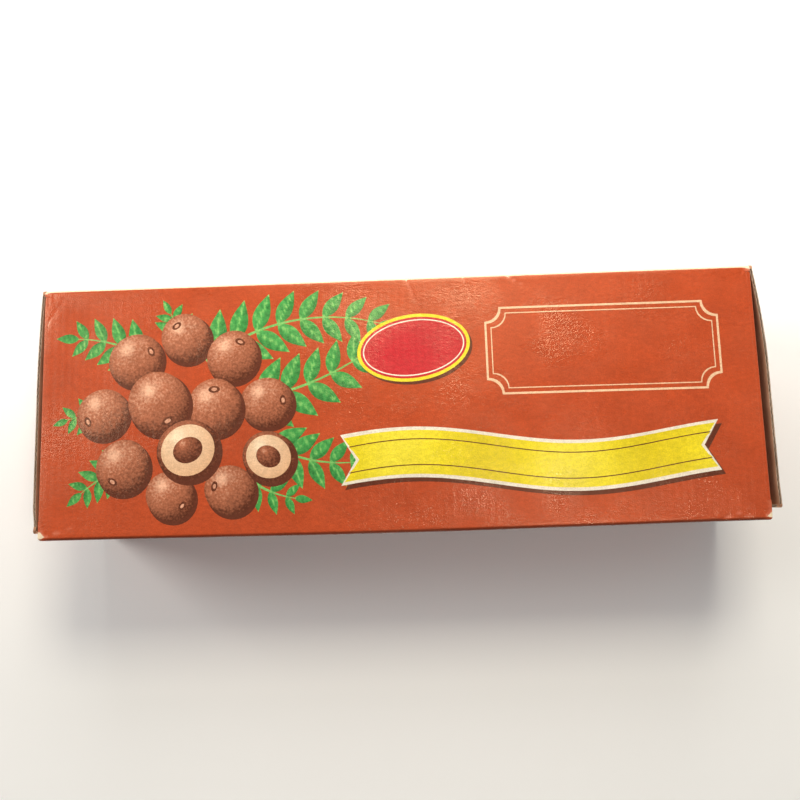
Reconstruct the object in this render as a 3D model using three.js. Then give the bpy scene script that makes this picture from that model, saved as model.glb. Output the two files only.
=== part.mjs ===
// A printed fruit carton of thin corrugated board, shut, lying on its back panel.
// A glued tube of four panels is shut at each end by a closure that hangs on the side panel and ends in a
// tuck lip. The closure covers two dust flaps, one on the front panel and one on the back panel.
// Lengths are millimetres. X runs along the carton, +Y is the side that carries the closures, and +Z is up,
// out of the printed front panel. The origin is the middle of the carton's extents, on the surface that the
// back panel rests on.

import * as THREE from "three";

// Driving dimensions: the tube's outside, and its board.
const LENGTH = 240;
const WIDTH = 85;
const DEPTH = 60;
const BOARD = 0.9;
const FOLD_RADIUS = 1.2;
const FOLD_GAP = 0.42;

// The manufacturer's seam: the side panel's glue flap lies on the back panel.
const GLUE_FLAP = 13;
const SEAM_STEP = 0.4;
const GLUE_FLAP_SETBACK = 6;

// How far the filled carton's panels have swelled, at the middle of its length.
const FRONT_SWELL = 2.0;
const FRONT_CREST = 0.6;
const LOWER_SIDE_SWELL = 0.9;
const LOWER_FOLD_BOW = 0.6;
const LOWER_SIDE_REACH = 15;

// The closure lies over the dust flaps, so the side panel that carries it is longer at each end.
const CLOSURE_CLEARANCE = 0.15;
const CLOSURE_SEAT = CLOSURE_CLEARANCE + BOARD;
const CLOSURE_SIDE_GAP = 0.4;
const CLOSURE_END_GAP = { left: 2.4, right: 3.8 };
const CLOSURE_CREST = 35;
const CLOSURE_SWELL = { left: 1.0, right: 2.6 };

// Near its folds the upper side panel ends where the front and back panels do.
const CORNER_RELIEF = 0.6;

const TUCK_LENGTH = 14;
const TUCK_LEAN = THREE.MathUtils.degToRad(4);
const TUCK_SIDE_GAP = 1.6;
const TUCK_CORNER = 8;

const DUST_LENGTH = 28;
const DUST_CLOSURE_SIDE_GAP = 2.2;
const DUST_TUCK_SIDE_GAP = 6.5;
const DUST_TAPER = 15;
const DUST_SMALL_TAPER = 4;
const DUST_CORNER = 4;

// How finely the faceted solids follow their curves.
const LENGTH_STEPS = 16;
const FRONT_STEPS = 10;
const LOWER_SIDE_STEPS = 6;
const CLOSURE_STEPS = 14;
const ARC_STEPS = 3;
const CORNER_STEPS = 4;

const HALF_LENGTH = LENGTH / 2;
const HALF_WIDTH = WIDTH / 2;
const NEAR = 1e-4;

const printedBoard = () =>
  new THREE.MeshStandardMaterial({ color: 0xcd6240, roughness: 0.45, metalness: 0 });
const plainBoard = () =>
  new THREE.MeshStandardMaterial({ color: 0xa8805c, roughness: 0.75, metalness: 0 });

// Points from one place to another, without the first, in equal steps.
function stepsBetween(from, to, steps) {
  const points = [];
  for (let i = 1; i <= steps; i++) {
    points.push(new THREE.Vector2().lerpVectors(from, to, i / steps));
  }
  return points;
}

// Points of a quarter turn about a centre, without the first.
function quarterTurn(centre, radius, startAngle) {
  const points = [];
  for (let i = 1; i <= ARC_STEPS; i++) {
    const angle = startAngle + (i / ARC_STEPS) * (Math.PI / 2);
    points.push(new THREE.Vector2(centre.x + radius * Math.cos(angle), centre.y + radius * Math.sin(angle)));
  }
  return points;
}

// The tube's outside, seen along X, with Y across and Z up. It starts at the back panel's raw edge.
function tubeOutside() {
  const at = (y, z) => new THREE.Vector2(y, z);
  const r = FOLD_RADIUS;
  const sideBottom = BOARD + r;
  return [
    at(HALF_WIDTH - SEAM_STEP, 0),
    at(HALF_WIDTH - SEAM_STEP, BOARD),
    ...quarterTurn(at(HALF_WIDTH - r, sideBottom), r, -Math.PI / 2).slice(1),
    at(HALF_WIDTH, sideBottom + CORNER_RELIEF),
    at(HALF_WIDTH, DEPTH - r - CORNER_RELIEF),
    at(HALF_WIDTH, DEPTH - r),
    ...quarterTurn(at(HALF_WIDTH - r, DEPTH - r), r, 0),
    ...stepsBetween(at(HALF_WIDTH - r, DEPTH), at(-HALF_WIDTH + r, DEPTH), FRONT_STEPS),
    ...quarterTurn(at(-HALF_WIDTH + r, DEPTH - r), r, Math.PI / 2),
    ...stepsBetween(at(-HALF_WIDTH, DEPTH - r), at(-HALF_WIDTH, r), LOWER_SIDE_STEPS),
    ...quarterTurn(at(-HALF_WIDTH + r, r), r, Math.PI),
  ];
}

// The tube's inside, the same way round, with the glue flap's step.
function tubeInside() {
  const at = (y, z) => new THREE.Vector2(y, z);
  const y = HALF_WIDTH - BOARD;
  const top = DEPTH - BOARD;
  const glueTop = 2 * BOARD;
  return [
    at(y - GLUE_FLAP, BOARD),
    at(y - GLUE_FLAP, glueTop),
    at(y, glueTop),
    at(y, BOARD + FOLD_RADIUS + CORNER_RELIEF),
    at(y, DEPTH - FOLD_RADIUS - CORNER_RELIEF),
    at(y, top),
    ...stepsBetween(at(y, top), at(-y, top), FRONT_STEPS),
    ...stepsBetween(at(-y, top), at(-y, BOARD), LOWER_SIDE_STEPS),
  ];
}

// How much the swelling counts along the tube: all at the middle, nothing at the ends.
function alongSwell(x) {
  const t = Math.min(1, Math.abs(x) / HALF_LENGTH);
  return (1 - t * t) ** 2;
}

// The front panel's swelling across its width, with its crest nearer the lower side.
function acrossSwell(y) {
  const v = THREE.MathUtils.clamp((HALF_WIDTH - y) / WIDTH, 0, 1);
  const t = v < FRONT_CREST ? v / FRONT_CREST : (1 - v) / (1 - FRONT_CREST);
  return Math.sin((t * Math.PI) / 2) ** 1.5;
}

// Moves a point of the plain tube to where the swollen board lies.
function swell(point) {
  const along = alongSwell(point.x);
  const toLowerSide = THREE.MathUtils.smoothstep(-point.y, HALF_WIDTH - LOWER_SIDE_REACH, HALF_WIDTH);
  const height = point.z / DEPTH;
  const outward = LOWER_FOLD_BOW * height + LOWER_SIDE_SWELL * Math.sin(Math.PI * height);
  if (point.z > DEPTH - 2 * BOARD) point.z += FRONT_SWELL * along * acrossSwell(point.y);
  point.y -= outward * along * toLowerSide;
}

// How far past the front panel's end the board reaches at a point of the tube's end section. The front
// and back panels end in a mitre that meets their dust flaps, and the upper side panel in one that meets
// its closure. The glue flap and the lower side panel stop short.
function endReach(y, z) {
  const onGlueFlap = y > 0 && Math.abs(z - 2 * BOARD) < NEAR && y < HALF_WIDTH - BOARD + NEAR;
  if (onGlueFlap) return -GLUE_FLAP_SETBACK;
  const fromFace = Math.min(z, DEPTH - z);
  const inFold = fromFace < BOARD + FOLD_RADIUS + NEAR;
  if (inFold) return -Math.min(fromFace, BOARD + FOLD_RADIUS);
  if (y > HALF_WIDTH - NEAR) return CLOSURE_SEAT;
  if (y > HALF_WIDTH - BOARD - NEAR) return CLOSURE_SEAT - BOARD;
  return -BOARD;
}

// The glued tube of front, side, back and lower side panels, as one closed ring of board.
function sleeve() {
  const ring = new THREE.Shape(tubeOutside());
  ring.holes.push(new THREE.Path(tubeInside()));
  const geometry = new THREE.ExtrudeGeometry(ring, {
    depth: LENGTH,
    steps: LENGTH_STEPS,
    bevelEnabled: false,
  });
  const alongX = new THREE.Matrix4().makeBasis(
    new THREE.Vector3(0, 1, 0),
    new THREE.Vector3(0, 0, 1),
    new THREE.Vector3(1, 0, 0),
  );
  geometry.applyMatrix4(alongX).translate(-HALF_LENGTH, 0, 0);
  const position = geometry.attributes.position;
  const point = new THREE.Vector3();
  for (let i = 0; i < position.count; i++) {
    point.fromBufferAttribute(position, i);
    if (Math.abs(Math.abs(point.x) - HALF_LENGTH) < NEAR) {
      point.x += Math.sign(point.x) * endReach(point.y, point.z);
    } else {
      swell(point);
    }
    position.setXYZ(i, point.x, point.y, point.z);
  }
  geometry.computeVertexNormals();
  const mesh = new THREE.Mesh(geometry, printedBoard());
  mesh.name = "sleeve";
  return mesh;
}

// A flat flap with a mitred fold edge. The outline is in the flap's plane: X across, and Y away from the
// fold. The flap's outside is at Z 0 and its inside at Z BOARD, where the fold edge is set back.
function flapPlate(outline, setback) {
  const geometry = new THREE.ExtrudeGeometry(outline, {
    depth: BOARD,
    bevelEnabled: false,
    curveSegments: CORNER_STEPS,
  });
  const position = geometry.attributes.position;
  for (let i = 0; i < position.count; i++) {
    const onFold = Math.abs(position.getY(i) - FOLD_GAP) < NEAR;
    if (onFold && position.getZ(i) > BOARD / 2) position.setY(i, FOLD_GAP + setback);
  }
  geometry.computeVertexNormals();
  return new THREE.Mesh(geometry, plainBoard());
}

// Turns a mesh or group so that its own X, Y and Z lie along the given directions.
function alignTo(object, across, away, inward) {
  object.quaternion.setFromRotationMatrix(new THREE.Matrix4().makeBasis(across, away, inward));
  return object;
}

// The swelling of a closure at a distance from its fold: it rises to the crest and stays.
function closureSwell(end, distance) {
  return CLOSURE_SWELL[end] * Math.sin(Math.min(1, distance / CLOSURE_CREST) * (Math.PI / 2));
}

const closureLength = (end) => WIDTH - CLOSURE_END_GAP[end];

// A closure's board, with its fold on the side panel at the origin, reaching along -Y.
function closurePanel(end, side) {
  const inner = [];
  const outer = [];
  const tuckSetback = BOARD * Math.tan((Math.PI / 2 + TUCK_LEAN) / 2);
  const lastOuter = closureLength(end) - FOLD_GAP;
  const lastInner = closureLength(end) - tuckSetback - FOLD_GAP;
  for (let i = 0; i <= CLOSURE_STEPS; i++) {
    const t = i / CLOSURE_STEPS;
    const outerDistance = THREE.MathUtils.lerp(FOLD_GAP, lastOuter, t);
    const innerDistance = THREE.MathUtils.lerp(FOLD_GAP + BOARD, lastInner, t);
    outer.push(new THREE.Vector2(side * closureSwell(end, outerDistance), -outerDistance));
    inner.push(new THREE.Vector2(side * (closureSwell(end, innerDistance) - BOARD), -innerDistance));
  }
  const geometry = new THREE.ExtrudeGeometry(new THREE.Shape([...outer, ...inner.reverse()]), {
    depth: DEPTH - 2 * CLOSURE_SIDE_GAP,
    bevelEnabled: false,
  });
  geometry.translate(0, 0, CLOSURE_SIDE_GAP);
  const mesh = new THREE.Mesh(geometry, printedBoard());
  mesh.name = `closure_${end}`;
  return mesh;
}

// The lip at the closure's free end, which tucks inside the lower side panel.
function tuckLip(end, side) {
  const halfAcross = DEPTH / 2 - TUCK_SIDE_GAP;
  const outline = new THREE.Shape()
    .moveTo(-halfAcross, FOLD_GAP)
    .lineTo(halfAcross, FOLD_GAP)
    .lineTo(halfAcross, TUCK_LENGTH - TUCK_CORNER)
    .absarc(halfAcross - TUCK_CORNER, TUCK_LENGTH - TUCK_CORNER, TUCK_CORNER, 0, Math.PI / 2)
    .lineTo(-halfAcross + TUCK_CORNER, TUCK_LENGTH)
    .absarc(-halfAcross + TUCK_CORNER, TUCK_LENGTH - TUCK_CORNER, TUCK_CORNER, Math.PI / 2, Math.PI);
  const mesh = flapPlate(outline, BOARD * Math.tan((Math.PI / 2 + TUCK_LEAN) / 2));
  const away = new THREE.Vector3(-side * Math.cos(TUCK_LEAN), Math.sin(TUCK_LEAN), 0);
  const inward = new THREE.Vector3(side * Math.sin(TUCK_LEAN), Math.cos(TUCK_LEAN), 0);
  alignTo(mesh, new THREE.Vector3(0, 0, -side), away, inward);
  mesh.position.z = DEPTH / 2;
  mesh.name = `tuck_lip_${end}`;
  return mesh;
}

// A closure and its tuck lip, hung on the side panel's end fold.
function closure(end, side) {
  const hinge = new THREE.Group();
  hinge.position.set(side * (HALF_LENGTH + CLOSURE_SEAT), HALF_WIDTH, 0);
  const lipHinge = new THREE.Group();
  const length = closureLength(end);
  lipHinge.position.set(side * closureSwell(end, length), -length, 0);
  lipHinge.add(tuckLip(end, side));
  hinge.add(closurePanel(end, side), lipHinge);
  return hinge;
}

// A dust flap's outline. Its wide taper clears the closure as both swing open. Across is along Y, and
// mirror is -1 where the flap's own across direction runs against it.
function dustOutline(mirror) {
  const closureSide = HALF_WIDTH - DUST_CLOSURE_SIDE_GAP;
  const tuckSide = -HALF_WIDTH + DUST_TUCK_SIDE_GAP;
  const corners = [
    [tuckSide, FOLD_GAP],
    [closureSide, FOLD_GAP],
    [closureSide - DUST_TAPER + DUST_CORNER / 2, DUST_LENGTH - DUST_CORNER],
    [closureSide - DUST_TAPER - DUST_CORNER / 2, DUST_LENGTH],
    [tuckSide + DUST_SMALL_TAPER + DUST_CORNER, DUST_LENGTH],
    [tuckSide + DUST_SMALL_TAPER, DUST_LENGTH - DUST_CORNER],
  ];
  return new THREE.Shape(corners.map(([y, away]) => new THREE.Vector2(mirror * y, away)));
}

// A dust flap on the front panel (from above) or on the back panel (from below).
function dustFlap(level, end, side) {
  const down = level === "upper" ? -1 : 1;
  const mirror = -down * side;
  const mesh = flapPlate(dustOutline(mirror), BOARD);
  alignTo(
    mesh,
    new THREE.Vector3(0, mirror, 0),
    new THREE.Vector3(0, 0, down),
    new THREE.Vector3(-side, 0, 0),
  );
  mesh.position.set(side * HALF_LENGTH, 0, level === "upper" ? DEPTH : 0);
  mesh.name = `${level}_dust_flap_${end}`;
  return mesh;
}

const carton = new THREE.Group();
carton.add(sleeve());
for (const [end, side] of [
  ["left", -1],
  ["right", 1],
]) {
  carton.add(closure(end, side), dustFlap("upper", end, side), dustFlap("lower", end, side));
}

// The closures and the lower side panel swell unequally, so the tube lies a little off the origin.
const middle = new THREE.Box3().setFromObject(carton).getCenter(new THREE.Vector3());
carton.position.set(-middle.x, -middle.y, 0);

export default carton;
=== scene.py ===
# A printed fruit carton of thin corrugated board, shut, lying on its back panel. Each panel is built as the
# real board is: a printed liner outside, a kraft liner inside, and a fluted medium between them, which
# shows at the raw edges. X runs along the carton, +Y is the side that carries the closures, and +Z is up,
# out of the printed front panel.

import math

import bmesh
import bpy
import numpy as np
from mathutils import Euler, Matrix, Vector
from mathutils.geometry import delaunay_2d_cdt


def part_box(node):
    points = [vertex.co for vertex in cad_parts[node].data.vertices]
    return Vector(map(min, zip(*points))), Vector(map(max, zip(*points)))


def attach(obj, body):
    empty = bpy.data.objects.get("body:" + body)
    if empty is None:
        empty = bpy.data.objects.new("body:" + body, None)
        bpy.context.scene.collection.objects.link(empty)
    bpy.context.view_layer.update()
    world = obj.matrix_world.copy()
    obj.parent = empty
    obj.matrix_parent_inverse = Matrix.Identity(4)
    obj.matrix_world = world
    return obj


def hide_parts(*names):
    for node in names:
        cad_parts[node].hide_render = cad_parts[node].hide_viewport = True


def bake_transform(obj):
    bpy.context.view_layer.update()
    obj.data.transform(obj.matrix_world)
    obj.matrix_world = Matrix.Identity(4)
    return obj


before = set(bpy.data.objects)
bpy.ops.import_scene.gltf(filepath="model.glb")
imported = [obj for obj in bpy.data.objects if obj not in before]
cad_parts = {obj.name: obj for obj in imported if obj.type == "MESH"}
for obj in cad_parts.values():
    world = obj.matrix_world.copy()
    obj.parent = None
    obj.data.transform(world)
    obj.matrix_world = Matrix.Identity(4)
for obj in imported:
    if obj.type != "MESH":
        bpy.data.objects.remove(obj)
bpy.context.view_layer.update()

MM = 0.001
TINY = 1e-6
ENDS = (("left", -1), ("right", 1))
LEVELS = ("upper", "lower")

# The blank's sizes in millimetres, as the solids have them, in the tube's own frame.
LENGTH = 240.0
WIDTH = 85.0
DEPTH = 60.0
BOARD = 0.9
FOLD_RADIUS = 1.2
GLUE_FLAP = 13.0
GLUE_FLAP_SETBACK = 6.0
SEAM_STEP = 0.4
FRONT_SWELL = 2.0
FRONT_CREST = 0.6
LOWER_SIDE_SWELL = 0.9
LOWER_FOLD_BOW = 0.6
LOWER_SIDE_REACH = 15.0
CLOSURE_SEAT = 1.05
CLOSURE_SIDE_GAP = 0.4
CLOSURE_LENGTH = {"left": 82.6, "right": 81.2}
CLOSURE_CREST = 35.0
CLOSURE_SWELL = {"left": 1.0, "right": 2.6}
TUCK_LENGTH = 14.0
TUCK_LEAN = math.radians(4)
TUCK_SIDE_GAP = 1.6
TUCK_CORNER = 8.0
DUST_LENGTH = 28.0
DUST_TUCK_SIDE = -36.0
DUST_CLOSURE_SIDE = 40.3
DUST_TUCK_TAPER = 4.0
DUST_TAPER = 13.0
DUST_CORNER = 4.0

HALF_LENGTH = LENGTH / 2
HALF_WIDTH = WIDTH / 2

# The solids' box is centred on the origin, so the tube lies a little off it.
TUBE_SHIFT = (
    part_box("upper_dust_flap_right")[1].x / MM - HALF_LENGTH,
    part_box("sleeve")[1].y / MM - HALF_WIDTH,
)

# The board's layers, and how its flutes show on the printed face.
LINER = 0.18
MEDIUM = 0.12
FLUTE_PITCH = 2.45
FLUTE_HALF = (BOARD - 2 * LINER - MEDIUM) / 2
WASHBOARD = 0.026
FOLD_CALM = 4.0
EDGE_SETBACK = 0.05

# How much of the panels beside it each crease strip takes up, how finely it is built, how far it stays off
# the corners, and how strongly its curve is drawn to the fold's edge at the upper and the lower folds.
CREASE = 1.2
CREASE_STEPS = 8
CREASE_ROWS = 24
SHEET_END = HALF_LENGTH - CREASE
SIDE_SHEET_END = HALF_LENGTH + CLOSURE_SEAT - CREASE
CREASE_CORNER_GAP = 0.6
CORNER_PULL = {"upper": 4.0, "lower": 1.0}


def clamp(value, low=0.0, high=1.0):
    return max(low, min(high, value))


def mix(a, b, t):
    return a + (b - a) * t


def smoothstep(value, low, high):
    t = clamp((value - low) / (high - low))
    return t * t * (3 - 2 * t)


def bump_at(distance, reach):
    """A round bump: 1 at no distance, 0 from the reach on."""
    return (1 - clamp(abs(distance) / reach) ** 2) ** 2


def steps_between(low, high, spacing):
    count = max(1, round(abs(high - low) / spacing))
    return [mix(low, high, k / count) for k in range(count + 1)]


def row_frame(x, y, z):
    """A point of the tube's frame in millimetres, in the row frame in metres."""
    return ((x + TUBE_SHIFT[0]) * MM, (y + TUBE_SHIFT[1]) * MM, z * MM)


SHARP_ANGLE = math.radians(40)


def link_piece(name, mesh):
    """The mesh as an object in the scene, smooth but for its sharp edges."""
    mesh.polygons.foreach_set("use_smooth", [True] * len(mesh.polygons))
    mesh.set_sharp_from_angle(angle=SHARP_ANGLE)
    piece = bpy.data.objects.new(name, mesh)
    bpy.context.scene.collection.objects.link(piece)
    return piece


def new_piece(name, points, faces, materials, face_material, wear_and_shade):
    """A mesh object from points in the tube's frame. Wear is a number for each point: above 0 it is wear,
    below 0 painted shade.
    """
    mesh = bpy.data.meshes.new(name)
    mesh.from_pydata([row_frame(*point) for point in points], [], faces)
    for material in materials:
        mesh.materials.append(material)
    mesh.polygons.foreach_set("material_index", face_material)
    mesh.attributes.new("wear_and_shade", "FLOAT", "POINT").data.foreach_set("value", wear_and_shade)
    shell = bmesh.new()
    shell.from_mesh(mesh)
    bmesh.ops.recalc_face_normals(shell, faces=shell.faces)
    shell.to_mesh(mesh)
    shell.free()
    return link_piece(name, mesh)


def sheet(name, columns, rows, surfaces, materials, wear_and_shade_at=None):
    """A closed sheet between two surfaces, each a function of (column, row). The first surface takes the
    first material, and the rest of the sheet the second."""
    points = []
    wear_and_shade = []
    for surface in surfaces:
        for i in range(columns + 1):
            for j in range(rows + 1):
                points.append(surface(i, j))
                wear_and_shade.append(wear_and_shade_at(i, j) if wear_and_shade_at else 0.0)
    layer = (columns + 1) * (rows + 1)

    def index(side, i, j):
        return side * layer + i * (rows + 1) + j

    faces = []
    face_material = []
    for i in range(columns):
        for j in range(rows):
            for side in (0, 1):
                around = ((i, j), (i + 1, j), (i + 1, j + 1), (i, j + 1))
                faces.append([index(side, *place) for place in around])
                face_material.append(side)
    rims = [((i, j), (i, j + 1)) for j in range(rows) for i in (0, columns)]
    rims += [((i, j), (i + 1, j)) for i in range(columns) for j in (0, rows)]
    for a, b in rims:
        faces.append([index(0, *a), index(0, *b), index(1, *b), index(1, *a)])
        face_material.append(1)
    return new_piece(name, points, faces, materials, face_material, wear_and_shade)


# How the panels have swelled.
def along_swell(x):
    t = min(1.0, abs(x) / HALF_LENGTH)
    return (1 - t * t) ** 2


def across_swell(y):
    v = clamp((HALF_WIDTH - y) / WIDTH)
    t = v / FRONT_CREST if v < FRONT_CREST else (1 - v) / (1 - FRONT_CREST)
    return math.sin(t * math.pi / 2) ** 1.5


def closure_swell(end, distance):
    return CLOSURE_SWELL[end] * math.sin(min(1.0, distance / CLOSURE_CREST) * math.pi / 2)


def swollen(x, y, z):
    along = along_swell(x)
    height = clamp(z / DEPTH)
    outward = LOWER_FOLD_BOW * height + LOWER_SIDE_SWELL * math.sin(math.pi * height)
    reach = smoothstep(-y, HALF_WIDTH - LOWER_SIDE_REACH, HALF_WIDTH)
    if z > DEPTH - 2 * BOARD:
        z += FRONT_SWELL * along * across_swell(y)
    return x, y - outward * along * reach, z


# Handling marks on the front panel, as (x, y, x, y, depth): shallow creases by the upper fold and corners.
HANDLING_CREASES = (
    (4.0, 42.0, 9.5, 28.0, 0.07),
    (23.0, 42.5, 26.5, 34.0, 0.06),
    (104.0, -42.0, 116.0, -37.5, 0.18),
    (110.0, -42.0, 118.0, -40.0, 0.14),
    (-119.0, 30.0, -112.0, 41.0, 0.12),
    (-117.0, -41.0, -104.0, -37.0, 0.14),
    (38.0, 42.0, 47.0, 36.5, 0.10),
)
CREASE_WIDTH = 0.9

# Dents in the front panel, as (x, y, reach along x, reach along y, depth).
DENTS = (
    (-78.0, -30.0, 34.0, 16.0, 0.28),
    (62.0, -31.0, 46.0, 14.0, 0.30),
    (12.0, 14.0, 40.0, 20.0, 0.16),
    (92.0, 18.0, 26.0, 24.0, 0.18),
    (-106.0, 14.0, 18.0, 26.0, 0.16),
    (30.0, -12.0, 30.0, 12.0, 0.12),
)


def away_from_line(x, y, crease):
    """How far a point is from a crease, and how far along it."""
    x0, y0, x1, y1 = crease[:4]
    span = Vector((x1 - x0, y1 - y0))
    offset = Vector((x - x0, y - y0))
    t = clamp(offset.dot(span) / span.length_squared)
    return (offset - span * t).length, t


def front_marks(x, y):
    """How far the front panel is pressed in at a point."""
    depth = 0.0
    for crease in HANDLING_CREASES:
        distance, t = away_from_line(x, y, crease)
        depth += crease[4] * bump_at(distance, CREASE_WIDTH) * (1 - 0.6 * t)
    for dent_x, dent_y, reach_x, reach_y, dent_depth in DENTS:
        distance = math.hypot((x - dent_x) / reach_x, (y - dent_y) / reach_y)
        depth += dent_depth * bump_at(distance, 1.0)
    return depth


def washboard(x, y, z):
    """The printed liner is drawn down a little between the medium's crests, except where folds crush them."""
    from_corner = max(HALF_WIDTH - abs(y), min(z, DEPTH - z))
    relief = WASHBOARD * smoothstep(from_corner, FOLD_RADIUS, FOLD_CALM)
    return relief * (0.5 - 0.5 * math.cos(math.tau * x / FLUTE_PITCH))


# Where the blank runs round the tube: stations on its outside, as (y, z, outward y, outward z).
def flat_stations(y0, z0, y1, z1, outward, spacing):
    length = math.hypot(y1 - y0, z1 - z0)
    shares = [s / length for s in steps_between(0, length, spacing)]
    return [(mix(y0, y1, t), mix(z0, z1, t), *outward) for t in shares]


def fold_stations(y, z, start, turn, steps=6):
    stations = []
    for k in range(steps + 1):
        angle = math.radians(start + turn * k / steps)
        outward = (math.cos(angle), math.sin(angle))
        stations.append((y + FOLD_RADIUS * outward[0], z + FOLD_RADIUS * outward[1], *outward))
    return stations


def joined(*runs):
    stations = list(runs[0])
    for run in runs[1:]:
        stations += run[1:]
    return stations


FOLD_Y = HALF_WIDTH - FOLD_RADIUS
FOLD_Z = DEPTH - FOLD_RADIUS
SPLIT_Z = 55.0
FRONT_SPACING = 1.3
SIDE_SPACING = 3.4
DUST_STEP = 0.1
GLUE_FLAP_END = HALF_WIDTH - BOARD - GLUE_FLAP


def crossing_stations(y0, y1, z, outward, spacing):
    """Stations across the front or back panel, with a close pair at each side of the dust flaps."""
    halves = (-DUST_STEP / 2, DUST_STEP / 2)
    breaks = [y0, y1] + [edge + half for edge in (DUST_TUCK_SIDE, DUST_CLOSURE_SIDE) for half in halves]
    breaks.sort(reverse=y0 > y1)
    runs = [flat_stations(a, z, b, z, outward, spacing) for a, b in zip(breaks, breaks[1:])]
    return joined(*runs)


def front_stations():
    return joined(
        flat_stations(-HALF_WIDTH, SPLIT_Z, -HALF_WIDTH, FOLD_Z, (-1, 0), FRONT_SPACING),
        fold_stations(-FOLD_Y, FOLD_Z, 180, -90),
        crossing_stations(-FOLD_Y, FOLD_Y, DEPTH, (0, 1), FRONT_SPACING),
        fold_stations(FOLD_Y, FOLD_Z, 90, -90),
        flat_stations(HALF_WIDTH, FOLD_Z, HALF_WIDTH, SPLIT_Z, (1, 0), FRONT_SPACING),
    )


def back_stations():
    return joined(
        crossing_stations(HALF_WIDTH - SEAM_STEP, -FOLD_Y, 0.0, (0, -1), SIDE_SPACING),
        fold_stations(-FOLD_Y, FOLD_RADIUS, -90, -90, 4),
        flat_stations(-HALF_WIDTH, FOLD_RADIUS, -HALF_WIDTH, SPLIT_Z, (-1, 0), SIDE_SPACING),
    )


def seam_stations():
    return joined(
        flat_stations(HALF_WIDTH, SPLIT_Z, HALF_WIDTH, FOLD_RADIUS + BOARD, (1, 0), SIDE_SPACING),
        fold_stations(FOLD_Y, FOLD_RADIUS + BOARD, 0, -90, 4),
        flat_stations(FOLD_Y, BOARD, GLUE_FLAP_END, BOARD, (0, -1), SIDE_SPACING),
    )


LOWER_SIDE_CUT = 0.5


def sheet_end(y, z):
    """How far from the middle the tube's liners end at a station."""
    from_face = min(z, DEPTH - z)
    on_glue_flap = y > 0 and abs(z - BOARD) < TINY
    if on_glue_flap and y < FOLD_Y + SEAM_STEP:
        return HALF_LENGTH - GLUE_FLAP_SETBACK
    if from_face < TINY:
        beside_flap = y < DUST_TUCK_SIDE or y > DUST_CLOSURE_SIDE
        return HALF_LENGTH if beside_flap else SHEET_END
    if y < 0:
        return HALF_LENGTH - LOWER_SIDE_CUT * min(from_face, FOLD_RADIUS)
    return mix(HALF_LENGTH, SIDE_SHEET_END, smoothstep(from_face, 0.0, CREASE_CORNER_GAP))


COLUMNS = 4 * round(LENGTH / FLUTE_PITCH)
END_STRETCH = 8.0


def column_x(i, columns, end):
    """The place of a column. Only the last few millimetres are stretched to where the sheet ends."""
    x = mix(-HALF_LENGTH, HALF_LENGTH, i / columns)
    past = abs(x) - (HALF_LENGTH - END_STRETCH)
    if past <= 0:
        return x
    stretch = (end - HALF_LENGTH + END_STRETCH) / END_STRETCH
    return math.copysign(HALF_LENGTH - END_STRETCH + past * stretch, x)


CORNER_REACH = 6.5
CORNER_CRUSH = 0.3


def corner_crush(x, y, z):
    """The front panel's corners are pressed down, unevenly."""
    near = bump_at(math.hypot(HALF_LENGTH - abs(x), HALF_WIDTH - abs(y)), CORNER_REACH)
    near *= smoothstep(z, SPLIT_Z, FOLD_Z)
    return x, y, z - CORNER_CRUSH * near * (0.6 + 0.4 * math.sin(3.1 * x + 5.3 * y))


def tube_point(x, station, depth):
    """A point at a depth below the tube's outside, with the swelling and the handling marks."""
    y, z, out_y, out_z = station
    if out_z > 0.9:
        depth += front_marks(x, y)
    x, y, z = swollen(x, y - out_y * depth, z - out_z * depth)
    return corner_crush(x, y, z)


# How strong the wear is on the upper folds, at the panel's ends and along the handling creases, and how far
# it reaches, and how strongly the painted shade darkens the lower fold where it turns away from the light.
FOLD_WEAR = 0.82
# Painted shade: the lower fold is darkened as a shadowed line along the bottom edge.
LOWER_FOLD_SHADE = 0.9
END_WEAR = 0.22
END_WEAR_REACH = 2.6
CREASE_WEAR = 0.55
CREASE_WEAR_REACH = 0.7

# How far the wear at each of the front panel's corners reaches, and how strong it is, by (right, upper).
WORN_CORNERS = {
    (False, False): (3.8, 1.5),
    (True, False): (3.4, 1.0),
    (False, True): (3.0, 0.4),
    (True, True): (3.4, 0.5),
}


def fold_wear_and_shade(x, station):
    """How worn the print is at the folds, creases, ends and corners. Below 0 it is painted shade on the lower
    fold.
    """
    y, z, out_y, out_z = station
    on_fold = min(abs(out_y), abs(out_z))
    wear_and_shade = FOLD_WEAR * smoothstep(on_fold, 0.2, 0.5)
    # Painted shade: on the lower fold the print is darkened instead of worn.
    if y < 0:
        wear_and_shade = -LOWER_FOLD_SHADE * smoothstep(on_fold, 0.1, 0.4)
    to_end = HALF_LENGTH - abs(x)
    wear_and_shade += END_WEAR * bump_at(to_end, END_WEAR_REACH) * (out_z > 0.9)
    reach, most = WORN_CORNERS[x > 0, y > 0]
    wear_and_shade += most * bump_at(math.hypot(to_end, HALF_WIDTH - abs(y)), reach) * (z > SPLIT_Z)
    for crease in HANDLING_CREASES:
        distance, t = away_from_line(x, y, crease)
        wear_and_shade += CREASE_WEAR * bump_at(distance, CREASE_WEAR_REACH) * (1 - t) * (out_z > 0.9)
    return wear_and_shade


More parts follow.
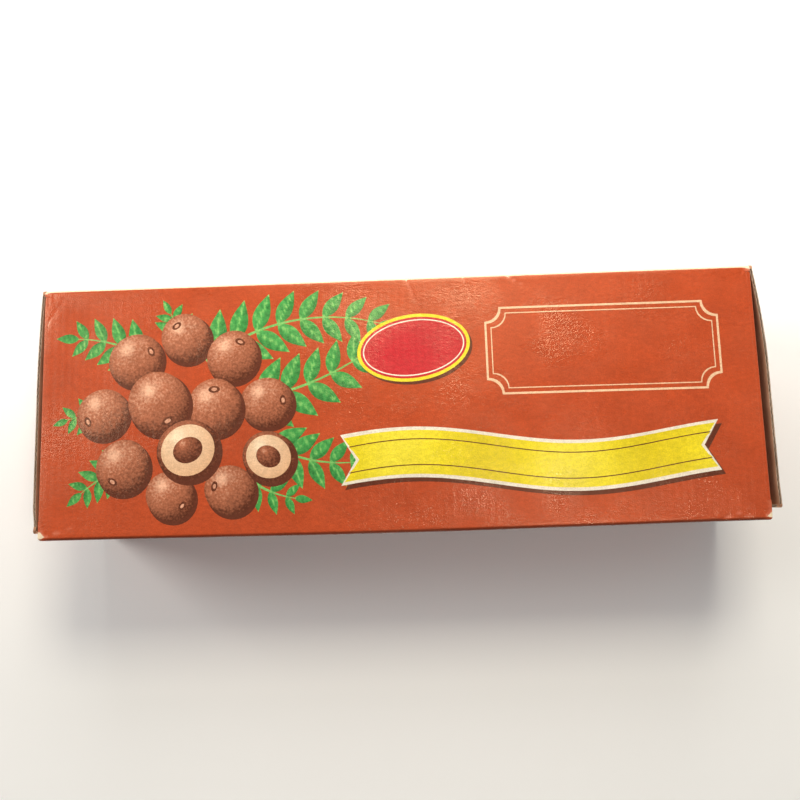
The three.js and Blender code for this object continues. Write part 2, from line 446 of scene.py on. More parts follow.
def tube_liner(name, stations, columns, depths, materials, printed):
    """One liner of the tube, between two depths, round a run of stations."""
    def place(i, j):
        return column_x(i, columns, sheet_end(*stations[j][:2])), stations[j]

    def surface(depth):
        def point(i, j):
            x, station = place(i, j)
            drawn = washboard(x, *station[:2]) if printed else 0.0
            return tube_point(x, station, depth + drawn)
        return point

    def wear_and_shade_at(i, j):
        return fold_wear_and_shade(*place(i, j)) if printed else 0.0

    surfaces = [surface(depth) for depth in depths]
    return sheet(name, columns, len(stations) - 1, surfaces, materials, wear_and_shade_at)


# A flap lies in its own plane: away from its fold, across it, and in depth from its outside.
def closure_place(end, side):
    def place(away, across, depth):
        x = side * (HALF_LENGTH + CLOSURE_SEAT + closure_swell(end, away) - depth)
        return corner_crush(x, HALF_WIDTH - away, across)
    return place


def tuck_place(end, side):
    length = CLOSURE_LENGTH[end]
    corner_x = side * (HALF_LENGTH + CLOSURE_SEAT + closure_swell(end, length))
    corner_y = HALF_WIDTH - length

    def place(away, across, depth):
        x = corner_x - side * (away * math.cos(TUCK_LEAN) - depth * math.sin(TUCK_LEAN))
        return x, corner_y + away * math.sin(TUCK_LEAN) + depth * math.cos(TUCK_LEAN), across
    return place


def dust_place(level, side):
    def place(away, across, depth):
        z = DEPTH - away if level == "upper" else away
        return corner_crush(side * (HALF_LENGTH - depth), across, z)
    return place


def closure_edges(away):
    """Like the other flaps' edges, but the same at any distance from the fold."""
    return CLOSURE_SIDE_GAP, DEPTH - CLOSURE_SIDE_GAP


def tuck_edges(away):
    past = max(0.0, away - (TUCK_LENGTH - TUCK_CORNER))
    cut = TUCK_CORNER - math.sqrt(max(0.0, TUCK_CORNER**2 - past**2))
    return TUCK_SIDE_GAP + cut, DEPTH - TUCK_SIDE_GAP - cut


def dust_edges(away):
    straight = DUST_LENGTH - DUST_CORNER
    taper = min(away, straight) / straight
    corner = max(0.0, away - straight)
    low = DUST_TUCK_SIDE + DUST_TUCK_TAPER * taper + corner
    return low, DUST_CLOSURE_SIDE - DUST_TAPER * taper - corner


TIP_REACH = 9.0
TIP_DEPTH = (40.0, 60.0)
RIGHT_TIP_FLARE = 0.22
LEFT_TIP_CRUSH = (0.5, 1.2)


def closure_tip(end, place):
    """The closures' free corners at the front are handled most: the right one stands proud of its panel,
    and the left one is crushed."""
    def placed(away, across, depth):
        x, y, z = place(away, across, depth)
        near = bump_at(CLOSURE_LENGTH[end] - away, TIP_REACH) * smoothstep(across, *TIP_DEPTH)
        side = math.copysign(1.0, x)
        if end == "right":
            return x - side * RIGHT_TIP_FLARE * (1 - near), y, z
        return x - side * LEFT_TIP_CRUSH[0] * near, y + LEFT_TIP_CRUSH[1] * near, z
    return placed


FLAP_ROWS = 22
FLAP_SIDE_WEAR = 0.42
FLAP_TIP_WEAR = 0.2
FLAP_TIP_REACH = 2.0


def flap_piece(name, place, edges, stops, depths, materials, relief=0.0):
    """One liner of a flap. Stops are the distances from the fold at which it has a column."""
    def surface(depth):
        def point(i, j):
            low, high = edges(stops[i])
            drawn = relief * (0.5 - 0.5 * math.cos(math.tau * stops[i] / FLUTE_PITCH))
            return place(stops[i], mix(low, high, j / FLAP_ROWS), depth + drawn)
        return point

    def wear_and_shade_at(i, j):
        at_side = bump_at(min(j, FLAP_ROWS - j) / FLAP_ROWS, 1.5 / FLAP_ROWS)
        at_tip = bump_at(stops[-1] - stops[i], FLAP_TIP_REACH)
        return (FLAP_SIDE_WEAR * at_side + FLAP_TIP_WEAR * at_tip) if relief else 0.0

    surfaces = [surface(depth) for depth in depths]
    return sheet(name, len(stops) - 1, FLAP_ROWS, surfaces, materials, wear_and_shade_at)


WAVE_STEPS = 10
WAVE_REACH = 3.0


def wave_depth(distance, layer):
    """Where the medium lies between the liners, at its upper or lower face."""
    middle = BOARD / 2 + FLUTE_HALF * math.cos(math.tau * distance / FLUTE_PITCH)
    return middle + layer * MEDIUM / 2


def wave_strip(name, start, end, place):
    """A strip of medium along a raw edge that cuts the flutes: place(distance, inwards, depth)."""
    count = round((end - start) / FLUTE_PITCH * WAVE_STEPS)

    def surface(layer):
        def point(i, j):
            distance = mix(start, end, i / count)
            return place(distance, EDGE_SETBACK + j * WAVE_REACH, wave_depth(distance, layer))
        return point

    return sheet(name, count, 1, [surface(-1), surface(1)], [MEDIUM_BOARD, MEDIUM_BOARD])


def flap_waves(name, start, end, place, edges):
    """The medium that shows along both sides of a flap."""
    def at_side(side, sign):
        return lambda away, inwards, depth: place(away, edges(away)[side] + sign * inwards, depth)

    return [
        wave_strip(f"{name}_medium_low", start, end, at_side(0, 1)),
        wave_strip(f"{name}_medium_high", start, end, at_side(1, -1)),
    ]


def rounded(a, corner, b, t, pull):
    """A point of the curve from a to b that is drawn towards their corner."""
    weights = ((1 - t) ** 2, pull * 2 * t * (1 - t), t**2)
    return [sum(w * v for w, v in zip(weights, values)) / sum(weights) for values in zip(a, corner, b)]


def crease_strip(name, outer, inner, spans, worn, pull=CORNER_PULL["upper"]):
    """Creased board round a fold. Outer and inner are (start, corner, end), each a function of across.
    Spans are the strip's (low, high) across where it starts and where it ends."""
    def surface(curve):
        def point(i, j):
            t = i / CREASE_STEPS
            low, high = (mix(a, b, t) for a, b in zip(*spans))
            across = mix(low, high, j / CREASE_ROWS)
            return rounded(*(corner(across) for corner in curve), t, pull)
        return point

    def wear_and_shade_at(i, j):
        return worn * bump_at(i / CREASE_STEPS - 0.5, 0.45)

    surfaces = [surface(outer), surface(inner)]
    return sheet(name, CREASE_STEPS, CREASE_ROWS, surfaces, [GROUND, KRAFT], wear_and_shade_at)


def bend(piece, start, end):
    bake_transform(piece)


# Materials. Every colour is given as it looks on a screen and turned to linear light.
def screen(red, green, blue):
    def linear(channel):
        share = channel / 255
        return share / 12.92 if share <= 0.04045 else ((share + 0.055) / 1.055) ** 2.4
    return (linear(red), linear(green), linear(blue), 1.0)


def new_material(name):
    material = bpy.data.materials.new(name)
    material.use_nodes = True
    tree = material.node_tree
    return material, tree, tree.nodes["Principled BSDF"]


def add_node(tree, kind, inputs=None, **settings):
    node = tree.nodes.new(kind)
    for key, value in settings.items():
        setattr(node, key, value)
    for key, value in (inputs or {}).items():
        if isinstance(value, bpy.types.NodeSocket):
            tree.links.new(value, node.inputs[key])
        else:
            node.inputs[key].default_value = value
    return node


def object_place(tree):
    return add_node(tree, "ShaderNodeTexCoord").outputs["Object"]


def noise(tree, place, scale, stretch=(1, 1, 1), turn=0.0, detail=3.0, roughness=0.55):
    mapping = {"Vector": place, "Scale": stretch, "Rotation": (0, 0, turn)}
    mapped = add_node(tree, "ShaderNodeMapping", mapping)
    inputs = {"Vector": mapped.outputs[0], "Scale": scale, "Detail": detail, "Roughness": roughness}
    return add_node(tree, "ShaderNodeTexNoise", inputs).outputs["Fac"]


def remap(tree, value, low, high, to_low=0.0, to_high=1.0):
    inputs = {"Value": value, "From Min": low, "From Max": high, "To Min": to_low, "To Max": to_high}
    return add_node(tree, "ShaderNodeMapRange", inputs, clamp=True).outputs[0]


def maths(tree, operation, a, b):
    return add_node(tree, "ShaderNodeMath", {0: a, 1: b}, operation=operation).outputs[0]


def colours(tree, share, first, second, mode="MIX"):
    inputs = {0: share, 6: first, 7: second}
    settings = {"data_type": "RGBA", "blend_type": mode, "clamp_factor": True}
    return add_node(tree, "ShaderNodeMix", inputs, **settings).outputs[2]


PAPER_WHITE = screen(226, 206, 178)
STRESSED_INK = screen(216, 132, 106)

# The varnish's warm gloss, how dark the painted shade at the lower fold makes the ink at its darkest, how
# much smoother the glossiest patches are, and the least roughness elsewhere.
GLOSS_TINT = (1.0, 0.74, 0.52, 1.0)
DARKEST_PAINTED_SHADE = 0.4
SHEEN = 0.17
GLOSS = 0.27


def press_texture(tree, place):
    """The mottling that all inks share: soft clouds, slanted streaks and fine grain, about 1 on average."""
    clouds = remap(tree, noise(tree, place, 90, detail=4), 0.3, 0.7, 0.92, 1.08)
    streaks = remap(tree, noise(tree, place, 950, (0.55, 1.0, 1.0), 0.35, 5), 0.3, 0.7, 0.9, 1.1)
    grain = remap(tree, noise(tree, place, 2300, detail=2), 0.3, 0.7, 0.88, 1.12)
    return maths(tree, "MULTIPLY", maths(tree, "MULTIPLY", clouds, streaks), grain)


def specks(tree, place, cells, size, kept):
    """Small bare spots: one in a few cells has a spot of the given size in metres."""
    cell = add_node(tree, "ShaderNodeTexVoronoi", {"Vector": place, "Scale": cells})
    near = remap(tree, cell.outputs["Distance"], size * cells, size * cells * 0.4)
    chance = add_node(tree, "ShaderNodeSeparateColor", {0: cell.outputs["Color"]}).outputs[0]
    chosen = remap(tree, chance, 1 - kept, 1 - kept + 0.01)
    return maths(tree, "MULTIPLY", near, chosen)


def finish_print(tree, shader, place, colour):
    """Wear, painted shade at the lower fold, gloss and the fine surface of varnished print."""
    wear_and_shade = add_node(tree, "ShaderNodeAttribute", attribute_name="wear_and_shade").outputs["Fac"]
    broken = remap(tree, noise(tree, place, 700, detail=6, roughness=0.7), 0.2, 0.8, -0.3, 0.3)
    stressed = remap(tree, maths(tree, "ADD", wear_and_shade, maths(tree, "MULTIPLY", broken, 0.3)), 0.08, 0.5)
    colour = colours(tree, maths(tree, "MULTIPLY", stressed, 0.55), colour, STRESSED_INK)
    # Painted shade: a wear value below 0, at the lower fold, darkens the ink into a shadowed line.
    painted_shade = remap(tree, wear_and_shade, -1.0, 0.0, DARKEST_PAINTED_SHADE, 1.0)
    colour = colours(tree, 1.0, colour, painted_shade, "MULTIPLY")
    worn = remap(tree, maths(tree, "ADD", wear_and_shade, broken), 0.45, 0.62)
    bare = maths(tree, "MAXIMUM", worn, specks(tree, place, 75, 0.00028, 0.10))
    colour = colours(tree, bare, colour, PAPER_WHITE)
    tree.links.new(colour, shader.inputs["Base Color"])
    rough = remap(tree, noise(tree, place, 160, (0.5, 1, 1), 0.3, 4), 0.3, 0.7, GLOSS, GLOSS + 0.14)
    patches = remap(tree, noise(tree, place, 34, detail=2), 0.42, 0.6)
    rough = maths(tree, "SUBTRACT", rough, maths(tree, "MULTIPLY", patches, SHEEN))
    tree.links.new(maths(tree, "ADD", rough, maths(tree, "MULTIPLY", bare, 0.3)), shader.inputs["Roughness"])
    folds_of_varnish = noise(tree, place, 900, (0.45, 1, 1), 0.3, 4)
    height = maths(tree, "ADD", folds_of_varnish, noise(tree, place, 2600, detail=1))
    strength = remap(tree, patches, 0.0, 1.0, 0.45, 1.0)
    bump = add_node(tree, "ShaderNodeBump", {"Height": height, "Strength": strength, "Distance": 0.00009})
    tree.links.new(bump.outputs[0], shader.inputs["Normal"])
    tree.links.new(remap(tree, patches, 0.0, 1.0, 0.34, 0.75), shader.inputs["Specular IOR Level"])
    shader.inputs["Specular Tint"].default_value = GLOSS_TINT


def base_print():
    """The carton's ground colour: orange red litho print under a satin varnish."""
    material, tree, shader = new_material("print_ground")
    place = object_place(tree)
    toned = colours(tree, noise(tree, place, 26, detail=2), screen(168, 64, 32), screen(180, 75, 40))
    colour = colours(tree, 1.0, toned, press_texture(tree, place), "MULTIPLY")
    finish_print(tree, shader, place, colour)
    return material


def ink(name, dark, middle, light, speckle=0.0):
    """A printed colour with tones from dark to light by the shade value of each motif."""
    material, tree, shader = new_material(f"ink_{name}")
    place = object_place(tree)
    shade = add_node(tree, "ShaderNodeAttribute", attribute_name="shade").outputs["Fac"]
    if speckle:
        rough = remap(tree, noise(tree, place, 1300, detail=3), 0.3, 0.7, -speckle, speckle)
        shade = maths(tree, "ADD", shade, rough)
    lower = colours(tree, remap(tree, shade, -1, 0), dark, middle)
    upper = colours(tree, remap(tree, shade, 0, 1), lower, light)
    colour = colours(tree, 1.0, upper, press_texture(tree, place), "MULTIPLY")
    finish_print(tree, shader, place, colour)
    return material


def fibre_board(name, dark, light, roughness):
    """Bare kraft board: long fibres, darker flecks and a dry surface."""
    material, tree, shader = new_material(name)
    place = object_place(tree)
    fibres = noise(tree, place, 420, (1, 0.22, 0.22), detail=6, roughness=0.65)
    colour = colours(tree, remap(tree, fibres, 0.3, 0.7), dark, light)
    flecks = specks(tree, place, 420, 0.00035, 0.25)
    fleck_colour = tuple(0.45 * channel for channel in dark[:3]) + (1.0,)
    colour = colours(tree, maths(tree, "MULTIPLY", flecks, 0.6), colour, fleck_colour)
    tree.links.new(colour, shader.inputs["Base Color"])
    rough = remap(tree, noise(tree, place, 300), 0.3, 0.7, roughness - 0.06, roughness + 0.06)
    tree.links.new(rough, shader.inputs["Roughness"])
    bump = add_node(tree, "ShaderNodeBump", {"Height": fibres, "Strength": 0.4, "Distance": 0.00006})
    tree.links.new(bump.outputs[0], shader.inputs["Normal"])
    shader.inputs["Specular IOR Level"].default_value = 0.3
    return material


def floor_material():
    material, tree, shader = new_material("pale_floor")
    place = object_place(tree)
    cloud = noise(tree, place, 9, detail=3)
    colour = colours(tree, cloud, screen(246, 246, 246), screen(250, 250, 250))
    tree.links.new(colour, shader.inputs["Base Color"])
    shader.inputs["Roughness"].default_value = 0.8
    return material


GROUND = base_print()
KRAFT = fibre_board("kraft_liner", screen(164, 116, 88), screen(202, 154, 122), 0.8)
KRAFT_EDGE = fibre_board("kraft_liner_edge", screen(118, 94, 78), screen(176, 150, 130), 0.8)
MEDIUM_BOARD = fibre_board("fluted_medium", screen(132, 106, 86), screen(186, 158, 134), 0.85)
PAPER = fibre_board("printed_liner_core", screen(128, 104, 90), screen(204, 184, 166), 0.75)


# A printed and a plain liner: its outer and inner depth in the board, and its materials.
PRINTED_LAYER = (0.0, LINER), [GROUND, PAPER]
PLAIN_LAYER = (BOARD, BOARD - LINER), [KRAFT, KRAFT_EDGE]

TUBE_RUNS = (("front", front_stations), ("back", back_stations), ("seam", seam_stations))


def build_tube():
    printed = [
        tube_liner(f"{run}_printed_liner", stations(), COLUMNS, *PRINTED_LAYER, True)
        for run, stations in TUBE_RUNS
    ]
    plain = [
        tube_liner(f"{run}_kraft_liner", stations(), COLUMNS // 4, *PLAIN_LAYER, False)
        for run, stations in TUBE_RUNS
    ]
    plain += tube_waves()
    for piece in printed + plain:
        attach(piece, "sleeve")
    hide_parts("sleeve")


SEAM_END = 2.5


def tube_waves():
    """The medium where it shows: along the seam's two raw edges."""
    end = HALF_LENGTH - SEAM_END
    glue_end = HALF_LENGTH - GLUE_FLAP_SETBACK

    def back_edge(x, inwards, depth):
        return x, HALF_WIDTH - SEAM_STEP - inwards, depth

    def glue_edge(x, inwards, depth):
        return x, GLUE_FLAP_END + inwards, BOARD + depth

    return [
        wave_strip("seam_edge_medium", -end, end, back_edge),
        wave_strip("glue_flap_medium", -glue_end, glue_end, glue_edge),
    ]


def flap_liners(name, place, edges, stops, relief):
    """A flap's printed liner and its kraft liner."""
    return [
        flap_piece(f"{name}_printed_liner", place, edges, stops, *PRINTED_LAYER, relief),
        flap_piece(f"{name}_kraft_liner", place, edges, stops, *PLAIN_LAYER),
    ]


# How far each kind of flap's printed liner is drawn down between the crests, and how worn its crease is.
FLAP_RELIEF = {"dust": 0.02, "closure": 0.03, "tuck": 0.02}
CREASE_WORN = {"dust": 0.34, "closure": 0.55, "tuck": 0.5}


# How close together a small flap's columns are, and how far its medium stays off its tip.
DUST_SPACING = 0.9
DUST_WAVE_GAP = 0.3
TUCK_SPACING = 0.8
TUCK_WAVE_GAP = 0.6


# The flaps, each with the crease that joins it to its panel.
def build_dust_flap(level, end, side):
    name = f"{level}_dust_flap_{end}"
    face = DEPTH if level == "upper" else 0.0
    inward = -1 if level == "upper" else 1
    place = dust_place(level, side)
    stops = steps_between(CREASE, DUST_LENGTH - DUST_CORNER, DUST_SPACING)
    stops += steps_between(DUST_LENGTH - DUST_CORNER, DUST_LENGTH, 1.0)[1:]
    liners = flap_liners(name, place, dust_edges, stops, FLAP_RELIEF["dust"])
    pieces = liners + flap_waves(name, CREASE, DUST_LENGTH - DUST_WAVE_GAP, place, dust_edges)
    for piece in pieces:
        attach(piece, name)
    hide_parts(name)

    def at(x_from_end, z_from_face):
        x = side * (HALF_LENGTH - x_from_end)
        return lambda across: corner_crush(x, across, face + inward * z_from_face)

    outer = (at(CREASE, 0.0), at(0.0, 0.0), at(0.0, CREASE))
    inner = (at(CREASE, BOARD), at(BOARD, BOARD), at(BOARD, CREASE))
    spans = (DUST_TUCK_SIDE, DUST_CLOSURE_SIDE), dust_edges(CREASE)
    worn = CREASE_WORN["dust"]
    crease = crease_strip(f"{name}_crease", outer, inner, spans, worn, CORNER_PULL[level])
    bend(crease, at(CREASE, BOARD)(0.0), at(BOARD, CREASE)(0.0))


def build_closure(end, side):
    name = f"closure_{end}"
    length = CLOSURE_LENGTH[end]
    place = closure_tip(end, closure_place(end, side))
    stops = steps_between(CREASE, length - CREASE, FLUTE_PITCH / 4)
    liners = flap_liners(name, place, closure_edges, stops, FLAP_RELIEF["closure"])
    pieces = liners + flap_waves(name, CREASE, length - CREASE, place, closure_edges)
    for piece in pieces:
        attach(piece, name)
    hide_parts(name)

    end_x = HALF_LENGTH + CLOSURE_SEAT

    def at(x_from_end, y_from_side):
        return lambda across: corner_crush(side * (end_x - x_from_end), HALF_WIDTH - y_from_side, across)

    outer = (at(CREASE, 0.0), at(0.0, 0.0), lambda across: place(CREASE, across, 0.0))
    inner = (at(CREASE, BOARD), at(BOARD, BOARD), lambda across: place(CREASE, across, BOARD))
    spans = (CREASE_CORNER_GAP, DEPTH - CREASE_CORNER_GAP), closure_edges(CREASE)
    crease = crease_strip(f"{name}_crease", outer, inner, spans, CREASE_WORN["closure"])
    bend(crease, at(CREASE, BOARD)(0.0), at(BOARD, CREASE)(0.0))


# Where round its corners the lip has columns, and how far the last stays off its very tip.
TUCK_CORNER_ANGLES = range(10, 91, 8)
TUCK_TIP_SETBACK = 0.02


def build_tuck_lip(end, side):
    name = f"tuck_lip_{end}"
    length = CLOSURE_LENGTH[end]
    place = tuck_place(end, side)
    panel = closure_tip(end, closure_place(end, side))
    stops = steps_between(CREASE, TUCK_LENGTH - TUCK_CORNER, TUCK_SPACING)
    stops += [TUCK_LENGTH - TUCK_CORNER * (1 - math.sin(math.radians(a))) for a in TUCK_CORNER_ANGLES]
    stops[-1] = TUCK_LENGTH - TUCK_TIP_SETBACK
    liners = flap_liners(name, place, tuck_edges, stops, FLAP_RELIEF["tuck"])
    pieces = liners + flap_waves(name, CREASE, TUCK_LENGTH - TUCK_WAVE_GAP, place, tuck_edges)
    for piece in pieces:
        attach(piece, name)
    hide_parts(name)

    corner = closure_place(end, side)

    def curve(depth):
        return (
            lambda across: panel(length - CREASE, across, depth),
            lambda across: corner(length - depth, across, depth),
            lambda across: place(CREASE, across, depth),
        )

    outer, inner = curve(0.0), curve(BOARD)
    spans = closure_edges(length), tuck_edges(CREASE)
    crease = crease_strip(f"{name}_crease", outer, inner, spans, CREASE_WORN["tuck"])
    bend(crease, inner[0](DEPTH / 2), inner[2](DEPTH / 2))


OUTLINE_STEP = FLUTE_PITCH / 4


def finely(outline):
    """The outline with points close enough together to follow the board's relief."""
    points = []
    for (x0, y0), (x1, y1) in zip(outline, outline[1:] + outline[:1]):
        count = max(1, math.ceil(math.hypot(x1 - x0, y1 - y0) / OUTLINE_STEP))
        points += [(mix(x0, x1, k / count), mix(y0, y1, k / count)) for k in range(count)]
    return points


# The front panel's print: a design of leaves, round nuts, a ribbon, a plain plaque and a plain seal.
class Print:
    """Collects the motifs in the order in which they are printed, each an outline with an ink and a shade."""

    def __init__(self):
        self.motifs = []

    def add(self, ink_name, outline, shade=None):
        self.motifs.append((ink_name, finely(outline), shade or (lambda x, y: 0.0)))


def turned(outline, x, y, angle):
    """An outline about the origin, turned and moved to its place."""
    cos, sin = math.cos(angle), math.sin(angle)
    return [(x + a * cos - b * sin, y + a * sin + b * cos) for a, b in outline]


def ellipse(x, y, half_long, half_short, angle=0.0, points=36):
    shares = [math.tau * k / points for k in range(points)]
    return turned([(half_long * math.cos(a), half_short * math.sin(a)) for a in shares], x, y, angle)


def leaf_outline(x, y, angle, length, width, points=9):
    """A pointed leaf from its stalk to its tip."""
    sides = []
    for sign in (1, -1):
        steps = range(points + 1) if sign > 0 else range(points - 1, 0, -1)
        for k in steps:
            t = k / points
            across = sign * width / 2 * math.sin(math.pi * t**0.8)
            sides.append((t * length, across))
    return turned(sides, x, y, angle)


def leaf_shade(x, y, angle, length, width):
    """Light along the midrib, darker to one side of it."""
    cos, sin = math.cos(angle), math.sin(angle)

    def shade(px, py):
        along = ((px - x) * cos + (py - y) * sin) / length
        across = (-(px - x) * sin + (py - y) * cos) / (width / 2)
        veins = 0.25 * math.cos(26 * along - 5 * abs(across))
        rib = 0.9 * bump_at(across, 0.22)
        return clamp(0.35 * across - 0.25 + veins + rib, -1, 1)
    return shade


LEAF_SHAPE = 0.42


def add_leaf(design, x, y, angle, length):
    width = LEAF_SHAPE * length
    design.add("green", leaf_outline(x, y, angle, length, width), leaf_shade(x, y, angle, length, width))


def add_sprig(design, x, y, angle, length, bend_by, leaf, pairs):
    """A stem with pairs of leaves that get smaller to its tip."""
    left, right = [], []
    steps = 2 * pairs
    for k in range(steps + 1):
        if k:
            x += length / steps * math.cos(angle)
            y += length / steps * math.sin(angle)
            angle += bend_by / steps
        t = k / steps
        half = 0.45 * (1 - t) + 0.12
        left.append((x - half * math.sin(angle), y + half * math.cos(angle)))
        right.append((x + half * math.sin(angle), y - half * math.cos(angle)))
        if k % 2 == 1:
            size = leaf * (1 - 0.45 * t)
            for sign in (1, -1):
                add_leaf(design, x, y, angle + sign * math.radians(52), size)
    design.add("green", left + right[::-1], lambda px, py: 0.5)
    add_leaf(design, x, y, angle, 0.6 * leaf)


LIGHT_FROM = (-0.45, 0.75)


def round_shade(x, y, radius, lift=0.0):
    """A ball lit from the upper left."""
    def shade(px, py):
        dx, dy = (px - x) / radius, (py - y) / radius
        edge = clamp(math.hypot(dx, dy))
        lit = dx * LIGHT_FROM[0] + dy * LIGHT_FROM[1]
        glint = 0.8 * bump_at(math.hypot(dx + 0.32, dy - 0.42), 0.34)
        return clamp(lift + 0.8 * lit - 0.75 * edge**4 + glint, -1, 1)
    return shade


def add_nut(design, x, y, radius, turn):
    """A round nut with its shadow and its scar."""
    design.add("shadow", ellipse(x + 0.9, y - 1.1, radius * 1.02, radius * 0.98, turn))
    design.add("brown", ellipse(x, y, radius, radius * 0.93, turn), round_shade(x, y, radius))
    scar_x, scar_y = x + 0.62 * radius * math.cos(turn), y + 0.62 * radius * math.sin(turn)
    design.add("brown", ellipse(scar_x, scar_y, 0.2 * radius, 0.12 * radius, turn + math.pi / 2, 16),
               lambda px, py: -0.9)
    design.add("brown", ellipse(scar_x, scar_y, 0.1 * radius, 0.06 * radius, turn + math.pi / 2, 12),
               lambda px, py: 0.55)


def add_half_nut(design, x, y, radius, turn):
    """A nut cut open: its shell, pale flesh and dark seed."""
    design.add("shadow", ellipse(x + 0.9, y - 1.1, radius * 1.03, radius, turn))
    design.add("brown", ellipse(x, y, radius, radius * 0.94, turn), round_shade(x, y, radius, -0.35))
    design.add("cream", ellipse(x, y, radius * 0.86, radius * 0.8, turn), round_shade(x, y, radius, 0.1))
    seed = ellipse(x, y, radius * 0.48, radius * 0.4, turn)
    design.add("brown", seed, round_shade(x, y, radius * 0.5, -0.55))


def ribbon_outline(x0, x1, middle, wave, half_height, grow=0.0, notch=5.0, points=40):
    """A wavy ribbon with a notch at each end, grown all round by a little for its outlines."""
    def centre(t):
        return middle + wave * math.sin(math.tau * (t * 1.1 + 0.05))

    upper, lower = [], []
    for k in range(points + 1):
        t = k / points
        x = mix(x0 - grow, x1 + grow, t)
        upper.append((x, centre(t) + half_height + grow))
        lower.append((x, centre(t) - half_height - grow))
    right_notch = (x1 + grow - notch, centre(1))
    left_notch = (x0 - grow + notch, centre(0))
    return upper + [right_notch] + lower[::-1] + [left_notch]


def ribbon_shade(x, y):
    return 0.5 * math.cos(x / 9.0)


def shifted(outline, dx, dy):
    return [(x + dx, y + dy) for x, y in outline]


def plaque_outline(x0, y0, x1, y1, bite, points=6):
    """A rectangle whose corners are bitten out by a quarter round."""
    outline = []
    for cx, cy, start in ((x1, y1, 270), (x0, y1, 0), (x0, y0, 90), (x1, y0, 180)):
        for k in range(points + 1):
            a = math.radians(start - 90 * k / points)
            outline.append((cx + bite * math.cos(a), cy + bite * math.sin(a)))
    return outline


def add_frame(design, ink_name, outline_at, inset, width, fill):
    """A line of some width, as an outline printed over by its own inside."""
    design.add(ink_name, outline_at(inset), lambda px, py: 0.2)
    design.add(fill, outline_at(inset + width))


# Sprigs of leaves, as (x, y, angle in degrees, length, turn, leaf length, pairs of leaves).
SPRIGS = (
    (-64.0, 16.0, 36, 62.0, -0.95, 16.0, 8),
    (-84.0, 18.0, 152, 25.0, 0.45, 13.0, 4),
    (-74.0, 24.0, 96, 9.0, 0.4, 9.5, 2),
    (-50.0, 2.0, 8, 50.0, 0.55, 16.0, 6),
    (-45.0, -12.0, -30, 34.0, 0.65, 14.0, 5),
    (-100.0, -2.0, 172, 11.0, 0.5, 9.0, 2),
    (-88.0, -18.0, 196, 20.0, 0.45, 11.0, 4),
    (-50.0, -24.0, -36, 17.0, 0.5, 10.0, 3),
)

# Round nuts, as (x, y, radius, turn), the furthest back first.
NUTS = (
    (-88.0, 17.0, 9.5, 0.5),
    (-71.0, 24.0, 8.8, 2.2),
    (-55.0, 17.0, 9.2, 1.1),
    (-99.0, -1.0, 9.0, 3.6),
    (-43.5, 1.0, 9.0, 0.1),
    (-61.0, 0.0, 9.8, 1.6),
    (-80.0, 2.0, 11.0, 5.2),
    (-92.0, -19.0, 9.4, 4.1),
    (-56.0, -27.5, 8.6, 2.9),
    (-76.0, -29.0, 8.4, 5.6),
)
HALF_NUTS = (
    (-70.0, -14.0, 10.6, 0.4),
    (-43.0, -17.0, 8.8, -0.5),
)

RIBBON = {"x0": -18.0, "x1": 104.0, "middle": -20.0, "wave": 3.0, "half_height": 7.2}
PLAQUE = (30.0, 1.0, 108.0, 31.0)
PLAQUE_BITE = 5.0
SEAL = (6.0, 18.0, 19.0, 11.5, 0.12)


def front_design():
    design = Print()
    for x, y, angle, length, bend_by, leaf, pairs in SPRIGS:
        add_sprig(design, x, y, math.radians(angle), length, bend_by, leaf, pairs)
    for nut in NUTS:
        add_nut(design, *nut)
    for nut in HALF_NUTS:
        add_half_nut(design, *nut)

    edge = ribbon_outline(**RIBBON, grow=1.1)
    narrow = dict(RIBBON, half_height=RIBBON["half_height"] - 1.2)
    design.add("shadow", shifted(edge, 1.2, -1.4))
    design.add("white", edge)
    design.add("yellow", ribbon_outline(**RIBBON), ribbon_shade)
    design.add("shadow", ribbon_outline(**narrow, grow=-1.6))
    narrow["half_height"] -= 0.35
    design.add("yellow", ribbon_outline(**narrow, grow=-1.6), ribbon_shade)

    def plaque(grow):
        x0, y0, x1, y1 = PLAQUE
        return plaque_outline(x0 + grow, y0 + grow, x1 - grow, y1 - grow, PLAQUE_BITE)

    def seal(grow):
        x, y, long, short, angle = SEAL
        return ellipse(x, y, long - grow, short - grow, angle, 60)

    add_frame(design, "cream", plaque, 0.0, 0.7, "ground")
    add_frame(design, "cream", plaque, 2.0, 0.35, "ground")
    design.add("shadow", shifted(seal(0.0), 0.8, -1.0))
    add_frame(design, "yellow", seal, 0.0, 1.1, "red")
    add_frame(design, "white", seal, 1.9, 0.4, "red")
    return design


# Each ink's dark, middle and light tones and its speckle. Ground is the bare panel and has no ink.
INKS = {
    "green": (screen(28, 96, 44), screen(66, 150, 74), screen(146, 200, 112), 0.25),
    "brown": (screen(84, 40, 26), screen(166, 98, 70), screen(226, 172, 142), 0.35),
    "shadow": (screen(70, 34, 24), screen(92, 44, 30), screen(110, 56, 40), 0.1),
    "yellow": (screen(204, 178, 22), screen(220, 200, 34), screen(232, 216, 70), 0.1),
    "white": (screen(214, 204, 184), screen(224, 214, 196), screen(232, 226, 210), 0.0),
    "cream": (screen(206, 160, 120), screen(218, 178, 142), screen(230, 204, 172), 0.1),
    "red": (screen(150, 22, 34), screen(182, 30, 44), screen(206, 54, 60), 0.15),
}

# How far the ink stands over the liner and its underside lies within it, and how far it keeps from edges.
INK_LIFT = 0.02
INK_BASE = -0.05
PRINT_BORDER = 0.8


def inside(outline, low, high):
    """The outline kept within the panel: points past its borders are drawn in to them."""
    return [(clamp(x, low[0], high[0]), clamp(y, low[1], high[1])) for x, y in outline]


def front_height(x, y, lift):
    station = (y, DEPTH, 0.0, 1.0)
    return tube_point(x, station, washboard(x, y, DEPTH) - lift)


